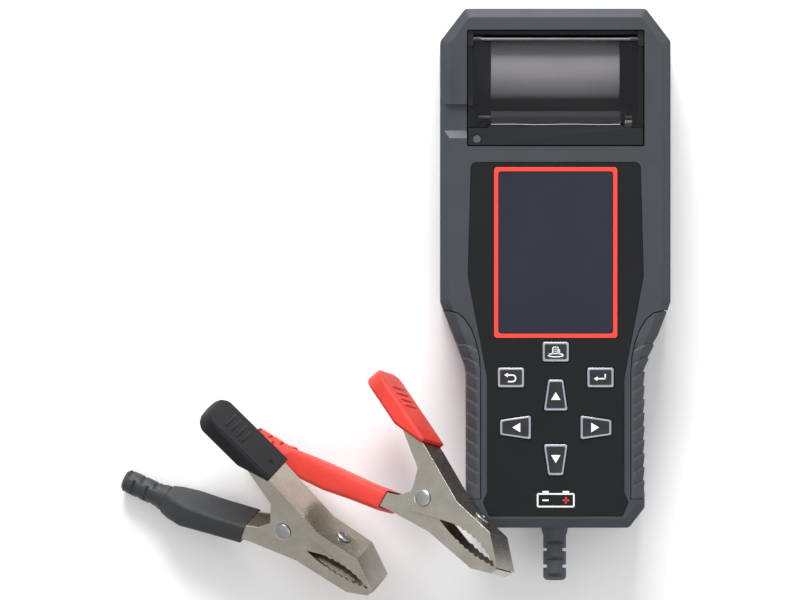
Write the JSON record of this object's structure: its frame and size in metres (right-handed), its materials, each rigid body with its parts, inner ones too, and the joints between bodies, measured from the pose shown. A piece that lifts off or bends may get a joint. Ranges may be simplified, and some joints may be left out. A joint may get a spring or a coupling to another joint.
{
  "type": "battery tester",
  "caption": "Handheld battery tester lying on its back, with a receipt printer under a hinged door, a screen and a keypad, and a black and a red sprung test clamp beside it.",
  "frame": {"origin": "middle of the tester's flat rear face, on the surface that it lies on", "axes": "+Z out of the face with the screen, +Y towards the printer end, +X to the right seen from the front"},
  "size_m": [0.2448, 0.2601, 0.072],
  "materials": {
    "case": "fine textured bluish grey plastic",
    "grip": "soft ribbed grey elastomer",
    "overlay": "satin black film",
    "trim": "red satin",
    "glass": "dark glossy window",
    "display": "dark",
    "smoke": "smoked transparent plastic",
    "black_plastic": "satin",
    "key": "silver painted rim round a black cap",
    "silicone": "matt",
    "board": "solder mask",
    "paper": "thermal paper",
    "card": "cardboard",
    "rubber": "matt",
    "steel": "zinc plated",
    "nickel": "bright nickel plate",
    "aluminium": "satin",
    "cell": "printed sleeve",
    "black_vinyl": "satin vinyl",
    "red_vinyl": "satin vinyl"
  },
  "bodies": {
    "case": {"front_shell": "case", "rear_shell": "case", "grip_left": "grip", "grip_right": "grip", "face_overlay": "overlay", "window_trim": "trim", "lcd_window": "glass", "lcd_module": "display", "main_board": "board", "keypad_mat": "silicone", "printer_tray": "black_plastic", "printer_bar": "black_plastic", "printer_screw": "steel", "door_pin": "steel", "thermal_head": "aluminium", "feed_motor": "steel", "battery_cover": "case", "cell_holder": "black_plastic", "cell_1": "cell", "cell_2": "cell", "cell_3": "cell", "cell_4": "cell", "case_strain_relief": "rubber", "case_screw_1": "steel", "case_screw_2": "steel", "case_screw_3": "steel", "case_screw_4": "steel", "case_screw_5": "steel", "case_screw_6": "steel"},
    "door": {"printer_door": "smoke"},
    "platen": {"platen_roller": "rubber", "platen_shaft": "steel", "platen_gear": "black_plastic"},
    "roll": {"paper_roll": "paper", "paper_core": "card"},
    "black_clamp": {"black_lower_lever": "nickel", "black_rivet": "steel", "black_lead_boot": "black_vinyl", "black_strain_relief": "black_vinyl", "black_spring": "steel"},
    "black_jaw": {"black_upper_lever": "nickel", "black_handle_sleeve": "black_vinyl", "black_contact_screw": "steel"},
    "red_clamp": {"red_lower_lever": "nickel", "red_rivet": "steel", "red_lead_boot": "red_vinyl", "red_strain_relief": "red_vinyl", "red_spring": "steel"},
    "red_jaw": {"red_upper_lever": "nickel", "red_handle_sleeve": "red_vinyl", "red_contact_screw": "steel"},
    "key_print": {"key_print": "key"},
    "key_back": {"key_back": "key"},
    "key_enter": {"key_enter": "key"},
    "key_up": {"key_up": "key"},
    "key_down": {"key_down": "key"},
    "key_left": {"key_left": "key"},
    "key_right": {"key_right": "key"}
  },
  "joints": [
    {"name": "printer_door_hinge", "type": "hinge", "parent": "case", "child": "door", "pos_m": [0, 0.1014, 0.0368], "axis": [-1, 0, 0], "range_deg": [0, 95]},
    {"name": "platen_spin", "type": "hinge", "parent": "door", "child": "platen", "pos_m": [0, 0.0668, 0.0326], "axis": [-1, 0, 0], "continuous": true},
    {"name": "paper_roll_spin", "type": "hinge", "parent": "case", "child": "roll", "pos_m": [0, 0.0886, 0.0198], "axis": [-1, 0, 0], "continuous": true},
    {"name": "black_lift", "type": "slide", "parent": "case", "child": "black_clamp", "axis": [0, 0, 1], "range_m": [0, 0.12]},
    {"name": "red_lift", "type": "slide", "parent": "case", "child": "red_clamp", "axis": [0, 0, 1], "range_m": [0, 0.12]},
    {"name": "key_print_press", "type": "slide", "parent": "case", "child": "key_print", "axis": [0, 0, -1], "range_m": [0, 0.0007], "stiffness_N_per_m": 300, "springref_m": -0.002},
    {"name": "key_back_press", "type": "slide", "parent": "case", "child": "key_back", "axis": [0, 0, -1], "range_m": [0, 0.0007], "stiffness_N_per_m": 300, "springref_m": -0.002},
    {"name": "key_enter_press", "type": "slide", "parent": "case", "child": "key_enter", "axis": [0, 0, -1], "range_m": [0, 0.0007], "stiffness_N_per_m": 300, "springref_m": -0.002},
    {"name": "key_up_press", "type": "slide", "parent": "case", "child": "key_up", "axis": [0, 0, -1], "range_m": [0, 0.0007], "stiffness_N_per_m": 300, "springref_m": -0.002},
    {"name": "key_down_press", "type": "slide", "parent": "case", "child": "key_down", "axis": [0, 0, -1], "range_m": [0, 0.0007], "stiffness_N_per_m": 300, "springref_m": -0.002},
    {"name": "key_left_press", "type": "slide", "parent": "case", "child": "key_left", "axis": [0, 0, -1], "range_m": [0, 0.0007], "stiffness_N_per_m": 300, "springref_m": -0.002},
    {"name": "key_right_press", "type": "slide", "parent": "case", "child": "key_right", "axis": [0, 0, -1], "range_m": [0, 0.0007], "stiffness_N_per_m": 300, "springref_m": -0.002},
    {"name": "black_jaw_hinge", "type": "hinge", "parent": "black_clamp", "child": "black_jaw", "pos_m": [-0.1175, -0.1132, 0.0262], "axis": [-0.3392, -0.3623, 0.8682], "range_deg": [0, 24], "stiffness_Nm_per_rad": 0.4, "springref_deg": -34.38, "deforming": ["black_spring"]},
    {"name": "red_jaw_hinge", "type": "hinge", "parent": "red_clamp", "child": "red_jaw", "pos_m": [-0.0549, -0.1028, 0.0439], "axis": [-0.4031, 0.1405, 0.9043], "range_deg": [0, 24], "stiffness_Nm_per_rad": 0.4, "springref_deg": -34.38, "deforming": ["red_spring"]}
  ],
  "couplings": [
    {"joint": "paper_roll_spin", "follows": "platen_spin", "ratio": 0.23077},
    {"joint": "red_lift", "follows": "black_lift", "ratio": 1}
  ]
}
